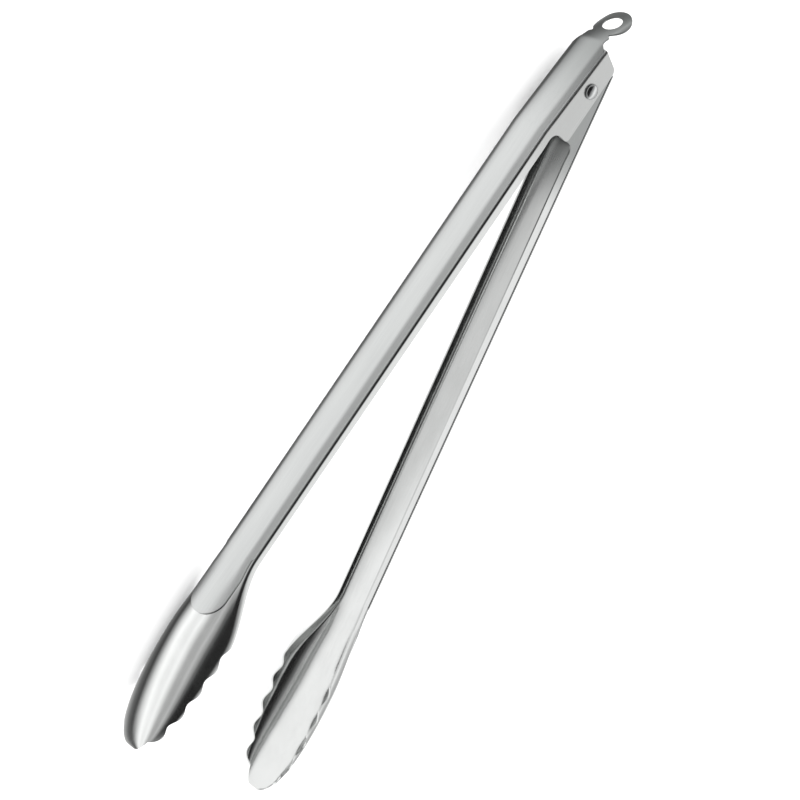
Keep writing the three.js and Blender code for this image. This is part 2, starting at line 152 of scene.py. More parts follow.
def channelHalf(arm, x, inset):
    bend = section["bend"]
    shift = section["cornerShift"] * inset
    back = backAt(arm, x)
    top = back - inset
    flat = section["flatHalf"] - (ringArm["half"] - arm["half"])
    corner = Vector((arm["half"] - inset, back - section["cornerDrop"] - shift))
    shoulder = Vector((flat - shift, top - section["crown"]))
    slope = (corner - shoulder).normalized()
    rim = Vector((corner.x, min(rimAt(x), corner.y - section["leastWall"])))
    ease = 1 - bend / shoulder.x
    flatEnd = Vector((shoulder.x - bend, top - section["crown"] * ease ** 2))
    slopeStart = shoulder + slope * bend
    slopeEnd = corner - slope * bend
    wallStart = corner - Vector((0, bend))
    points = [Vector((flatEnd.x * t, lerp(top, flatEnd.y, t * t)))
              for t in spread(0, 1, columnCounts["flat"])]
    points += bendPoints(flatEnd, shoulder, slopeStart, columnCounts["shoulder"])
    points += [slopeStart.lerp(slopeEnd, t) for t in spread(0, 1, columnCounts["slope"])[1:]]
    points += bendPoints(slopeEnd, corner, wallStart, columnCounts["corner"])
    points += [wallStart.lerp(rim, t) for t in spread(0, 1, columnCounts["wall"])[1:]]
    return points


def sharesAlong(points):
    lengths = [0]
    for a, b in zip(points, points[1:]):
        lengths.append(lengths[-1] + (b - a).length)
    return [length / lengths[-1] for length in lengths]


def bowlPoint(x, inset, share):
    along = min(1, max(0, (x - scoop["reach"] + scoop["noseLength"]) / scoop["noseLength"]))
    down = min(1, max(0, (x - scoop["reach"] + scoop["domeLength"]) / scoop["domeLength"]))
    power = scoop["widthPower"]
    width = (scoop["half"] - inset) * (1 - along ** power) ** (1 / power)
    depth = (scoop["depth"] - inset) * (1 - down ** scoop["domePower"]) ** scoop["domeRoot"]
    notch = 0
    if x > scoop["firstLobe"]:
        phase = (x - scoop["firstLobe"]) / scoop["lobePitch"]
        notch = scoop["lobeDepth"] * (1 - math.cos(2 * math.pi * phase)) / 2
    notch = min(notch, scoop["deepestNotch"] * depth)
    sweep = math.acos((notch / depth) ** (1 / scoop["roundness"]))
    angle = share * sweep
    across = width * math.sin(angle) ** scoop["roundness"]
    height = depth * max(0, math.cos(angle)) ** scoop["roundness"]
    return Vector((across, height - scoop["rimSlope"] * x))


scoopShares = {
    arm["body"]: sharesAlong(channelHalf(arm, scoop["start"], 0)) for arm in (ringArm, plainArm)
}


def halfSection(arm, x, inset):
    points = channelHalf(arm, x, inset)
    blend = smoothstep(x, scoop["start"], scoop["full"])
    if blend == 0:
        return points
    shares = scoopShares[arm["body"]]
    return [point.lerp(bowlPoint(x, inset, share), blend) for point, share in zip(points, shares)]


# Mesh helpers

def gridSkins(rows, columns, places):
    # one grid of faces for each skin, every vertex set by its row and column
    shape = bmesh.new()
    for place in places:
        made = bmesh.ops.create_grid(shape, x_segments=columns, y_segments=rows, size=1)
        for vert in made["verts"]:
            row = round((vert.co.y + 1) / 2 * rows)
            column = round((vert.co.x + 1) / 2 * columns)
            vert.co = place(row, column)
    return shape


def roundEdges(shape, edges, width, segments=3):
    bmesh.ops.bevel(
        shape, geom=edges, offset=width, offset_type="OFFSET", segments=segments,
        profile=0.5, affect="EDGES", material=-1, clamp_overlap=True,
    )


def closeRim(shape, width):
    # joins the two skins round their borders and rounds the sheet's edges
    border = [edge for edge in shape.edges if edge.is_boundary]
    rim = set(bmesh.ops.bridge_loops(shape, edges=border)["faces"])
    bmesh.ops.recalc_face_normals(shape, faces=shape.faces)
    corners = {edge for face in rim for edge in face.edges
               if any(other not in rim for other in edge.link_faces)}
    roundEdges(shape, list(corners), width)


def newPiece(name, shape, matrix):
    bmesh.ops.transform(shape, matrix=matrix, verts=shape.verts)
    bmesh.ops.recalc_face_normals(shape, faces=shape.faces)
    mesh = bpy.data.meshes.new(name)
    shape.to_mesh(mesh)
    shape.free()
    piece = bpy.data.objects.new(name, mesh)
    bpy.context.collection.objects.link(piece)
    return piece


def drill(piece, cutter):
    cut = piece.modifiers.new("cut", "BOOLEAN")
    cut.operation = "DIFFERENCE"
    cut.solver = "EXACT"
    cut.object = cutter
    graph = bpy.context.evaluated_depsgraph_get()
    mesh = bpy.data.meshes.new_from_object(piece.evaluated_get(graph))
    piece.modifiers.clear()
    old = piece.data
    piece.data = mesh
    bpy.data.meshes.remove(old)
    bpy.data.objects.remove(cutter)


def smoothPiece(piece, sharpAngle=32):
    for face in piece.data.polygons:
        face.use_smooth = True
    piece.data.set_sharp_from_angle(angle=math.radians(sharpAngle))
    weighted = piece.modifiers.new("evenShading", "WEIGHTED_NORMAL")
    weighted.keep_sharp = True
    weighted.weight = 80


def spool(name, radius, half, flare, matrix, segments=96):
    # a cutter whose shank widens to its ends, so that the hole it makes has a rounded edge
    profile = [(0, -half - 1), (radius + flare, -half - 1)]
    for angle in spread(90, 0, 6):
        lift = math.radians(angle)
        out, rise = 1 - math.cos(lift), 1 - math.sin(lift)
        profile.append((radius + flare * out, flare * rise - half))
    profile += [(r, -h) for r, h in reversed(profile)]
    return turned(name, profile, matrix, segments)


def turned(name, profile, matrix, segments=96):
    shape = bmesh.new()
    verts = [shape.verts.new((r, 0, h)) for r, h in profile]
    edges = [shape.edges.new(pair) for pair in zip(verts, verts[1:])]
    bmesh.ops.spin(
        shape, geom=verts + edges, cent=(0, 0, 0), axis=(0, 0, 1), dvec=(0, 0, 0),
        angle=2 * math.pi, steps=segments, use_merge=True, use_duplicate=False,
    )
    bmesh.ops.remove_doubles(shape, verts=shape.verts, dist=1e-4)
    return newPiece(name, shape, matrix)


# Blades

cheek = {
    "depth": 6.3,
    "end": 29.0,
    "cornerRadius": 3.0,
    "filletRadius": 6.0,
    "filletTop": 5.6,
    "hiddenRim": 4.4,
    "slant": 0.32,
    "holeRadius": 2.7,
    "holeReach": 14.0,
    "holeEdge": 0.01,
}
bladeCounts = {"arm": 66, "neck": 34, "lobes": 112, "nose": 12}
latchPin = {
    "x": 17.0,
    "y": 2.0,
    "radius": 1.25,
    "inset": 0.1,
    "chamfer": 0.25,
    "holeGap": 0.2,
}


def curve(a, b, c, count):
    return bendPoints(Vector(a), Vector(b), Vector(c), count)


def line(a, b, count):
    return [Vector(a).lerp(Vector(b), t) for t in spread(0, 1, count)[1:]]


def mouthOutline():
    # the cheek's lower edge near its mouth, up into the rim
    end, low, bend = cheek["end"], -cheek["depth"], cheek["cornerRadius"]
    top, fillet = cheek["filletTop"], cheek["filletRadius"]
    points = curve((end - bend, low), (end, low), (end, low + bend), 10)
    points += line((end, low + bend), (end, top - fillet), 4)
    points += curve((end, top - fillet), (end, top), (end + fillet, top), 16)
    return points


def ringOutline():
    lean = cheek["slant"]
    low = -cheek["depth"]
    start = ringArm["end"] + lean * (cheek["hiddenRim"] - low - cheek["cornerRadius"])
    corner = ringArm["end"] + lean * (cheek["hiddenRim"] - low)
    points = [Vector((start, low + cheek["cornerRadius"]))]
    points += curve(points[0], (corner, low), (corner + cheek["cornerRadius"], low), 10)
    points += line(points[-1], (cheek["end"] - cheek["cornerRadius"], low), 26)
    return points + mouthOutline()


def plainOutline():
    low, radius = -cheek["depth"], cheek["depth"]
    points = [Vector((plainArm["end"], cheek["hiddenRim"]))]
    points += line(points[0], (low, cheek["hiddenRim"]), 6)
    points += line(points[-1], (low, 0), 5)
    for angle in spread(180, 270, 16)[1:]:
        turn = math.radians(angle)
        points.append(Vector((radius * math.cos(turn), radius * math.sin(turn))))
    points += line(points[-1], (cheek["end"] - cheek["cornerRadius"], low), 20)
    return points + mouthOutline()


def bladeRows(arm, outline):
    # pairs of a place along the back and the point of the free edge that its row runs to
    lengths = sharesAlong(outline)
    back = arm["end"]
    if arm is ringArm:
        back -= cheek["slant"] * (backAt(arm, arm["end"]) - cheek["hiddenRim"])
    rows = [(lerp(back, outline[-1].x, share), point) for share, point in zip(lengths, outline)]
    noseEnd = scoop["reach"] - scoop["noseLength"] * (1 - scoop["noseCut"])
    fine = scoop["fineNose"]
    places = spread(outline[-1].x, scoop["start"], bladeCounts["arm"])[1:]
    places += spread(scoop["start"], scoop["firstLobe"], bladeCounts["neck"])[1:]
    places += spread(scoop["firstLobe"], noseEnd - fine, bladeCounts["lobes"])[1:]
    for t in spread(0, 1, bladeCounts["nose"])[1:]:
        places.append(noseEnd - fine + fine * math.sin(t * math.pi / 2))
    return rows + [(x, None) for x in places]


def bladeSkin(arm, rows, inset):
    halves = [halfSection(arm, x, inset) for x, edge in rows]
    middle = len(halves[0]) - 1
    wallStart = middle - columnCounts["wall"]
    nose = scoop["reach"] - scoop["noseLength"]

    def place(row, column):
        x, edge = rows[row]
        half = halves[row]
        side = -1 if column < middle else 1
        index = abs(column - middle)
        z, y = half[index]
        x -= max(0, x - nose) * inset / scoop["noseLength"]
        if edge is not None:
            if index > wallStart:
                share = (index - wallStart) / columnCounts["wall"]
                y = lerp(half[wallStart].y, edge.y, share)
            top = half[0].y
            x = lerp(x, edge.x, (top - y) / (top - edge.y))
        return Vector((x, y, side * z))

    return place, 2 * middle


def pinMatrix():
    place = Matrix.Translation((latchPin["x"], latchPin["y"], 0))
    return armMatrix(plainArm) @ place


def boreBlade(piece, radius, matrix, segments):
    cutter = spool("cutter", radius, cheek["holeReach"], cheek["holeEdge"], matrix, segments)
    drill(piece, cutter)


def makeBlade(name, arm, outline):
    rows = bladeRows(arm, outline)
    outer, columns = bladeSkin(arm, rows, 0)
    inner, columns = bladeSkin(arm, rows, section["sheet"])
    shape = gridSkins(len(rows) - 1, columns, (outer, inner))
    closeRim(shape, section["edgeRound"])
    if arm is plainArm:
        addEndWall(shape)
    piece = newPiece(name, shape, armMatrix(arm))
    boreBlade(piece, cheek["holeRadius"], armMatrix(arm), 48)
    if arm is plainArm:
        boreBlade(piece, latchPin["radius"] + latchPin["holeGap"], pinMatrix(), 36)
    smoothPiece(piece)
    return piece


endWall = {"half": 6.2, "lap": 0.5}


def addEndWall(shape):
    # the plate across the plain arm's end, which stops the arm when it opens
    travel = math.radians(hinge["openAngle"])
    gap = section["seam"] + section["stopClearance"]
    inside = backAt(ringArm, plainArm["end"]) - section["sheet"] - gap
    low = -(inside + plainArm["end"] * math.sin(travel)) / math.cos(travel)
    high = backAt(plainArm, 0) - endWall["lap"]
    made = bmesh.ops.create_cube(shape, size=1)
    size = Vector((section["sheet"], high - low, 2 * endWall["half"]))
    centre = Vector((plainArm["end"] + section["sheet"] / 2, (high + low) / 2, 0))
    bmesh.ops.scale(shape, vec=size, verts=made["verts"])
    bmesh.ops.translate(shape, vec=centre, verts=made["verts"])
    edges = list({edge for vert in made["verts"] for edge in vert.link_edges})
    roundEdges(shape, edges, section["edgeRound"])


# Handle covers

cover = {
    "edgeShare": 0.62,
    "endRadius": 12.2,
    "end": 339.0,
    "columns": 56,
    "edgeFrom": 100.0,
    "tongueStart": -8.0,
    "tongueStraight": 14.0,
    "tongueLength": 31.4,
    "bendRadius": 9.0,
    "bendAngle": 25.0,
    "ringRadius": 10.6,
    "ringHole": 5.5,
    "ringHoleEdge": 0.2,
    "neckHalf": 8.1,
    "neckRoot": 10.2,
    "neckLead": 1.5,
    "neckFlare": 0.7,
    "neckMerge": 0.55,
    "neckPower": 7,
    "shoulderFrom": 10.5,
    "shoulderTo": 17.0,
}


coverCounts = {"ring": 14, "tongue": 60, "ringRear": 14, "plainRear": 16, "arm": 66, "end": 16}


def heightAt(points, z):
    for a, b in zip(points, points[1:]):
        if z <= b.x:
            return lerp(a.y, b.y, (z - a.x) / (b.x - a.x))
    return points[-1].y


def zAtShare(arm, x, inset, share):
    points = halfSection(arm, x, inset)
    shares = sharesAlong(points)
    for i, value in enumerate(shares):
        if value >= share:
            t = (share - shares[i - 1]) / (value - shares[i - 1])
            return points[i - 1].lerp(points[i], t).x
    return points[-1].x


def tonguePlace(distance):
    start = Vector((cover["tongueStart"], backAt(ringArm, cover["tongueStart"])
                    + section["seam"] + section["cover"]))
    slope = math.atan(ringArm["slope"])
    bend = math.radians(cover["bendAngle"]) - slope
    radius = cover["bendRadius"]
    first = min(distance, cover["tongueStraight"])
    turning = min(bend, max(0, (distance - cover["tongueStraight"]) / radius))
    beyond = max(0, distance - cover["tongueStraight"] - radius * bend)
    heading = slope + turning
    x = start.x - first * math.cos(slope) - radius * (math.sin(heading) - math.sin(slope))
    y = start.y - first * math.sin(slope) - radius * (math.cos(slope) - math.cos(heading))
    return Vector((x - beyond * math.cos(heading), y - beyond * math.sin(heading))), heading


def tongueHalf(distance, edge):
    offset = distance - cover["tongueLength"]
    radius = cover["ringRadius"]
    around = math.sqrt(max(0, radius ** 2 - offset ** 2))
    neckPlace = cover["tongueLength"] - radius - cover["neckLead"]
    before = max(0, neckPlace - distance) / neckPlace
    neck = lerp(cover["neckHalf"], cover["neckRoot"], smoothstep(before, 0, cover["neckFlare"]))
    past = smoothstep(offset, -radius, -cover["neckMerge"] * radius)
    power = cover["neckPower"]
    width = (around ** power + (neck * (1 - past)) ** power) ** (1 / power)
    return lerp(edge, width, smoothstep(distance, cover["shoulderFrom"], cover["shoulderTo"]))


def coverRows(arm):
    # rows as (kind, place, share of the half-round end)
    rows = []
    bendPlace = section["slopeStart"]
    straightEnd = cover["end"] - cover["endRadius"]
    if arm is ringArm:
        rows += [("ring", cover["tongueLength"], v) for v in spread(1, 0, coverCounts["ring"])]
        distances = spread(cover["tongueLength"], 0, coverCounts["tongue"])[1:]
        rows += [("tongue", distance, 0) for distance in distances]
        places = spread(cover["tongueStart"], bendPlace, coverCounts["ringRear"])[1:]
    else:
        places = spread(arm["end"], bendPlace, coverCounts["plainRear"])
    places += spread(bendPlace, scoop["start"], coverCounts["arm"])[1:]
    places += spread(scoop["start"], straightEnd, coverCounts["end"])[1:]
    rows += [("arm", x, 0) for x in places]
    rows += [("end", straightEnd, v) for v in spread(0, 1, coverCounts["end"])[1:]]
    return rows


def coverSkin(arm, rows, depth):
    inset = depth - section["seam"] - section["cover"]
    outerInset = -section["seam"] - section["cover"]
    half = cover["columns"] // 2
    edge = zAtShare(arm, cover["edgeFrom"], outerInset, cover["edgeShare"])
    cache = {}

    def heightOf(x, z):
        key = round(x, 4)
        if key not in cache:
            cache[key] = halfSection(arm, x, inset)[: -columnCounts["wall"]]
        return heightAt(cache[key], abs(z))

    def place(row, column):
        kind, at, v = rows[row]
        t = column / half - 1
        if kind in ("ring", "end"):
            radius = cover["ringRadius"] if kind == "ring" else cover["endRadius"]
            along = radius * v * math.sqrt(1 - t * t / 2)
            z = radius * t * math.sqrt(1 - v * v / 2)
        else:
            along = 0
        if kind == "arm":
            wide = edge
            if at > scoop["start"]:
                wide = min(zAtShare(arm, at, outerInset, cover["edgeShare"]), cover["endRadius"])
            z = t * wide
        if kind in ("arm", "end"):
            x = at + along
            return Vector((x, heightOf(x, z), z))
        distance = at + along
        if kind == "tongue":
            z = t * tongueHalf(distance, edge)
        centre, heading = tonguePlace(distance)
        drop = heightOf(cover["tongueStart"], 0) - heightOf(cover["tongueStart"], z) + depth
        return Vector((
            centre.x + drop * math.sin(heading), centre.y - drop * math.cos(heading), z,
        ))

    return place


def makeCover(name, arm):
    rows = coverRows(arm)
    outer = coverSkin(arm, rows, 0)
    inner = coverSkin(arm, rows, section["cover"])
    shape = gridSkins(len(rows) - 1, cover["columns"], (outer, inner))
    closeRim(shape, section["edgeRound"])
    piece = newPiece(name, shape, armMatrix(arm))
    if arm is ringArm:
        centre, heading = tonguePlace(cover["tongueLength"])
        inward = Vector((math.sin(heading), -math.cos(heading), 0))
        middle = Vector((centre.x, centre.y, 0)) + inward * section["cover"] / 2
        turn = Matrix.Rotation(heading, 4, "Z") @ Matrix.Rotation(math.pi / 2, 4, "X")
        matrix = armMatrix(arm) @ Matrix.Translation(middle) @ turn
        half = section["cover"] / 2
        drill(piece, spool("cutter", cover["ringHole"], half, cover["ringHoleEdge"], matrix))
    smoothPiece(piece)
    return piece


print("making the blades")
blades = [
    makeBlade("ring_blade", ringArm, ringOutline()),
    makeBlade("plain_blade", plainArm, plainOutline()),
]
print("making the handle covers")
covers = [makeCover("ring_cover", ringArm), makeCover("plain_cover", plainArm)]

# Small parts of the hinge

rivet = {
    "radius": 2.5,
    "headRadius": 4.3,
    "headHeight": 1.9,
    "headEdge": 0.55,
    "headFullness": 0.9,
    "seat": 12.7,
    "dishRadius": 0.25,
}


def makeRivet():
    # a shank with a domed head pressed at each end
    edge, height, radius = rivet["headEdge"], rivet["headHeight"], rivet["headRadius"]
    head = []
    for angle in spread(0, 90, 22):
        turn = math.radians(angle)
        across = radius * math.cos(turn) ** rivet["headFullness"]
        head.append((across, edge + (height - edge) * math.sin(turn)))
    head[-1] = (0, height)
    lip = rivet["dishRadius"]
    foot = [(rivet["radius"], 0), (radius - lip, 0)]
    for angle in spread(-90, 0, 5)[1:]:
        turn = math.radians(angle)
        foot.append((radius - lip + lip * math.cos(turn), lip + lip * math.sin(turn)))
    upper = [(r, h + rivet["seat"]) for r, h in foot + head]
    lower = [(r, -h) for r, h in reversed(upper)]
    piece = turned("hinge_rivet", lower + upper, armMatrix(ringArm), 72)
    smoothPiece(piece, 40)
    return piece


sleeve = {"inner": 2.8, "outer": 3.7, "half": 9.8, "chamfer": 0.18}


def makeSleeve():
    inner, outer, half, cut = (sleeve[key] for key in ("inner", "outer", "half", "chamfer"))
    profile = [(inner, cut - half), (inner + cut, -half), (outer - cut, -half), (outer, cut - half)]
    profile += [(r, -h) for r, h in reversed(profile)]
    piece = turned("hinge_sleeve", profile + profile[:1], armMatrix(ringArm), 64)
    smoothPiece(piece)
    return piece


coil = {
    "wire": 0.8,
    "radius": 4.9,
    "turns": 5,
    "pitch": 1.9,
    "legReach": 26.0,
    "legGap": 0.3,
    "legTip": 0.2,
    "legPlane": 4.2,
    "tipShare": 0.75,
    "steps": 200,
}


def legAngle(arm):
    inside = backAt(arm, coil["legReach"]) - section["sheet"]
    height = inside - coil["wire"] - coil["legGap"]
    span = math.hypot(coil["legReach"], height)
    return math.atan2(height, coil["legReach"]) - math.asin(coil["radius"] / span)


def makeSpring():
    # round wire wound round the sleeve, with a straight leg along each arm's back
    ringLeg = legAngle(ringArm)
    plainLeg = -legAngle(plainArm) - math.radians(hinge["openAngle"])
    first = math.pi / 2 + ringLeg
    last = plainLeg - math.pi / 2 + 2 * math.pi * coil["turns"]
    lift = coil["pitch"] * (last - first) / (2 * math.pi)
    shape = bmesh.new()
    matrix = Matrix.Rotation(first, 4, "Z") @ Matrix.Translation((coil["radius"], 0, lift / 2))
    matrix = matrix @ Matrix.Rotation(math.pi / 2, 4, "X")
    ring = bmesh.ops.create_circle(shape, segments=20, radius=coil["wire"], matrix=matrix)["verts"]
    edges = list({edge for vert in ring for edge in vert.link_edges})
    steps = coil["steps"]
    made = bmesh.ops.spin(
        shape, geom=ring + edges, cent=(0, 0, 0), axis=(0, 0, 1), dvec=(0, 0, -lift / steps),
        angle=last - first, steps=steps, use_merge=False, use_duplicate=False,
    )
    lastEdges = [item for item in made["geom_last"] if isinstance(item, bmesh.types.BMEdge)]
    drawLeg(shape, edges, ringLeg)
    drawLeg(shape, lastEdges, plainLeg)
    piece = newPiece("torsion_spring_wire", shape, armMatrix(ringArm))
    smoothPiece(piece, 50)
    return piece


def drawLeg(shape, edges, heading):
    # pulls the wire's open end out along the arm, then closes and rounds it
    reach = Vector((math.cos(heading), math.sin(heading), 0))
    for step in (coil["legReach"] - coil["legTip"], coil["legTip"]):
        made = bmesh.ops.extrude_edge_only(shape, edges=edges)["geom"]
        verts = [item for item in made if isinstance(item, bmesh.types.BMVert)]
        edges = [item for item in made if isinstance(item, bmesh.types.BMEdge)
                 and all(vert in verts for vert in item.verts)]
        bmesh.ops.translate(shape, vec=reach * step, verts=verts)
    middle = sum((vert.co for vert in verts), Vector()) / len(verts)
    for vert in verts:
        vert.co = middle.lerp(vert.co, coil["tipShare"])
    bmesh.ops.contextual_create(shape, geom=edges)


catch = {
    "half": 3.0,
    "sheet": 1.2,
    "webX": 13.2,
    "footEnd": 18.2,
    "footHeight": 3.4,
    "padStart": 6.0,
    "edge": 0.2,
    "corner": 0.2,
    "innerBend": 0.4,
    "bend": 0.9,
}


def plateFrom(name, outline, half, matrix, edge, segments=3):
    # a plate with its outline in x and y, as thick as twice half, its edges rounded
    shape = bmesh.new()
    face = shape.faces.new([shape.verts.new((x, y, -half)) for x, y in outline])
    made = bmesh.ops.extrude_face_region(shape, geom=[face])["geom"]
    top = [item for item in made if isinstance(item, bmesh.types.BMVert)]
    bmesh.ops.translate(shape, vec=(0, 0, 2 * half), verts=top)
    bmesh.ops.recalc_face_normals(shape, faces=shape.faces)
    rims = [e for e in shape.edges if abs(e.verts[0].co.z - e.verts[1].co.z) < 1e-6]
    roundEdges(shape, rims, edge, segments)
    return newPiece(name, shape, matrix)


def roundedCorners(points, radii, count=6):
    # an outline with each corner on its own radius, which takes just under half a side
    sideShare = 2.1
    outline = []
    for i, (corner, radius) in enumerate(zip(points, radii)):
        corner = Vector(corner)
        before = Vector(points[i - 1]) - corner
        after = Vector(points[(i + 1) % len(points)]) - corner
        reach = min(radius, before.length / sideShare, after.length / sideShare)
        start = corner + before.normalized() * reach
        end = corner + after.normalized() * reach
        outline += [start] + bendPoints(start, corner, end, count)
    return outline


def makeCatch():
    # a strip bent twice: the pad under the back, the web, and the foot the latch hooks on
    gap = section["sheet"] + section["seam"]
    thick = catch["sheet"]
    under = [backAt(ringArm, x) - gap for x in (catch["padStart"], catch["webX"] + thick)]
    slope = (under[1] - under[0]) / (catch["webX"] + thick - catch["padStart"])
    web, foot = catch["webX"], catch["footHeight"]
    points = [
        (catch["padStart"], under[0]),
        (catch["padStart"], under[0] - thick),
        (web, under[0] - thick + slope * (web - catch["padStart"])),
        (web, foot),
        (catch["footEnd"], foot),
        (catch["footEnd"], foot + thick),
        (web + thick, foot + thick),
        (web + thick, under[1]),
    ]
    ends = [catch["corner"]] * 2
    bends = [catch["innerBend"], catch["bend"]]
    outline = roundedCorners(points, (ends + bends) * 2)
    matrix = armMatrix(ringArm)
    piece = plateFrom("lock_catch_bracket", outline, catch["half"], matrix, catch["edge"])
    smoothPiece(piece)
    return piece


latch = {
    "half": 1.2,
    "swing": 30.0,
    "hookGap": 0.4,
    "hookHeight": 2.3,
    "hookNose": 1.6,
    "hookChamfer": 0.7,
    "armWidth": 2.5,
    "armGap": 1.0,
    "bossWall": 1.6,
    "bossFrom": 108.0,
    "bossTo": 351.0,
    "boreEdge": 0.15,
    "corner": 1.6,
    "edge": 0.22,
}


def makeLatch():
    # the swinging hook of the lock, drawn engaged about its pin and then swung clear
    hookUnder = latchPin["y"] + catch["footHeight"] + catch["sheet"] + latch["hookGap"]
    hookTop = hookUnder + latch["hookHeight"]
    inside = catch["footEnd"] - latchPin["x"] + latch["armGap"]
    outside = inside + latch["armWidth"]
    boss = latchPin["radius"] + latch["bossWall"]
    nose, corner = latch["hookNose"], latch["corner"]
    outline = []
    for angle in spread(latch["bossFrom"], latch["bossTo"], 40):
        turn = math.radians(angle)
        outline.append(Vector((boss * math.cos(turn), boss * math.sin(turn))))
    outline.append(Vector((outside, inside)))
    outline.append(Vector((outside, hookTop - corner)))
    outline += curve(outline[-1], (outside, hookTop), (outside - corner, hookTop), 8)
    outline += [Vector((latch["hookChamfer"] - nose, hookTop))]
    outline += [Vector((-nose, hookTop - latch["hookChamfer"])), Vector((-nose, hookUnder))]
    outline += [Vector((inside, hookUnder)), Vector((inside, inside + latch["armGap"]))]
    swing = Matrix.Rotation(math.radians(latch["swing"]), 4, "Z")
    mirror = Matrix.Scale(-1, 4, (0, 1, 0))
    matrix = pinMatrix() @ swing @ mirror
    piece = plateFrom("lock_latch_hook", outline, latch["half"], matrix, latch["edge"])
    bore = latchPin["radius"] + latchPin["holeGap"]
    drill(piece, spool("cutter", bore, latch["half"], latch["boreEdge"], matrix, 48))
    smoothPiece(piece)
    return piece


def makeLatchPin():
    radius, cut = latchPin["radius"], latchPin["chamfer"]
    half = plainArm["half"] - latchPin["inset"]
    profile = [(0, -half)]
    for angle in spread(-90, 0, 6):
        turn = math.radians(angle)
        profile.append((radius - cut + cut * math.cos(turn), cut - half + cut * math.sin(turn)))
    profile += [(r, -h) for r, h in reversed(profile)]
    piece = turned("lock_pin", profile, pinMatrix(), 48)
    smoothPiece(piece)
    return piece


print("making the hinge and the lock")
smallParts = [makeRivet(), makeSleeve(), makeSpring(), makeCatch(), makeLatch(), makeLatchPin()]
hingeRivet, hingeSleeve, spring, lockCatch, lockLatch, lockPin = smallParts

# Finishes

class Socket:
    # a socket in a material; arithmetic on it adds Math nodes
    def __init__(self, finish, socket):
        self.finish, self.socket = finish, socket

    def mathWith(self, operation, first, second):
        return self.finish.node("Math", {"operation": operation}, {0: first, 1: second})

    def __add__(self, other):
        return self.mathWith("ADD", self, other)

    def __radd__(self, other):
        return self.mathWith("ADD", other, self)

    def __sub__(self, other):
        return self.mathWith("SUBTRACT", self, other)

    def __rsub__(self, other):
        return self.mathWith("SUBTRACT", other, self)

    def __mul__(self, other):
        return self.mathWith("MULTIPLY", self, other)

    def __rmul__(self, other):
        return self.mathWith("MULTIPLY", other, self)


bumpDepth = 0.00001


class Finish:
    # the nodes of a material, or of the world
    def __init__(self, name, home=None):
        self.material = home or bpy.data.materials.new(name)
        self.material.use_nodes = True
        self.tree = self.material.node_tree
        self.tree.nodes.clear()

    def node(self, kind, settings=None, inputs=None, output=0):
        made = self.tree.nodes.new("ShaderNode" + kind)
        for key, value in (settings or {}).items():
            if key == "stops":
                self.setStops(made.color_ramp.elements, value)
            elif key == "interpolation":
                made.color_ramp.interpolation = value
            else:
                setattr(made, key, value)
        for key, value in (inputs or {}).items():
            if isinstance(value, Socket):
                self.tree.links.new(value.socket, made.inputs[key])
            else:
                made.inputs[key].default_value = value
        return Socket(self, made.outputs[output]) if made.outputs else made

    def setStops(self, stops, values):
        for i, (place, colour) in enumerate(values):
            stop = stops[i] if i < len(stops) else stops.new(place)
            stop.position, stop.color = place, colour

    def ramp(self, value, low, high, toLow=0.0, toHigh=1.0):
        settings = {"interpolation_type": "SMOOTHSTEP"}
        numbers = {"From Min": low, "From Max": high, "To Min": toLow, "To Max": toHigh}
        return self.node("MapRange", settings, {"Value": value, **numbers})

    def noise(self, place, scale, detail=3.0, roughness=0.5):
        return self.node("TexNoise", None, {
            "Vector": place, "Scale": scale, "Detail": detail, "Roughness": roughness,
        })

    def along(self, turn, size):
        # object coordinates measured along an arm from the pivot, divided by the given sizes
        objectPlace = self.node("TexCoord", output=3)
        return self.node("Mapping", {"vector_type": "TEXTURE"}, {
            "Vector": objectPlace, "Location": tuple(pivot),
            "Rotation": (0, 0, math.radians(turn)), "Scale": size,
        })

    def streaks(self, turn, pattern):
        # noise drawn out along an arm
        length, width, detail, roughness = pattern
        return self.noise(self.along(turn, (length, width, width)), 1.0, detail, roughness)

    def parts(self, vector):
        # the x, y and z of a vector
        first = self.node("SeparateXYZ", None, {"Vector": vector})
        return [Socket(self, output) for output in first.socket.node.outputs]

    def bump(self, height, strength):
        return self.node("Bump", None, {"Height": height, "Strength": strength, "Distance": bumpDepth})

    def mixed(self, factor, dark, light):
        return self.node("Mix", {"data_type": "RGBA"}, {0: factor, 6: dark, 7: light}, output=2)

    def close(self, colour, roughness, normal, **constants):
        shader = self.node("BsdfPrincipled", None, {
            "Base Color": colour, "Roughness": roughness, "Normal": normal,
            "Metallic": 1.0, **constants,
        })
        self.node("OutputMaterial", None, {"Surface": shader})
        return self.material


# a pattern is its length along the arm, its width, its detail and its roughness

satin = {
    "grain": (0.030, 0.00022, 4.0, 0.62),
    "hair": (0.012, 0.00009, 2.0, 0.5),
    "cloud": (0.05, 0.012, 3.0, 0.55),
    "scratch": (0.018, 0.00035, 1.0, 0.5),
    "toneRange": (0.32, 0.68),
    "scratchRange": (0.66, 0.74),
    "dark": (0.485, 0.495, 0.492, 1),
    "light": (0.555, 0.565, 0.56, 1),
    "paintedShade": (0.26, 0.27, 0.267, 1),
    # the colour of the painted shade toward the ring, and where along the arm it fades out, in metres
    "paintedShadeRange": (-0.05, 0.045),
    "roughness": 0.34,
    "grainRoughness": 0.10,
    "cloudRoughness": 0.08,
    "bump": 0.35,
}


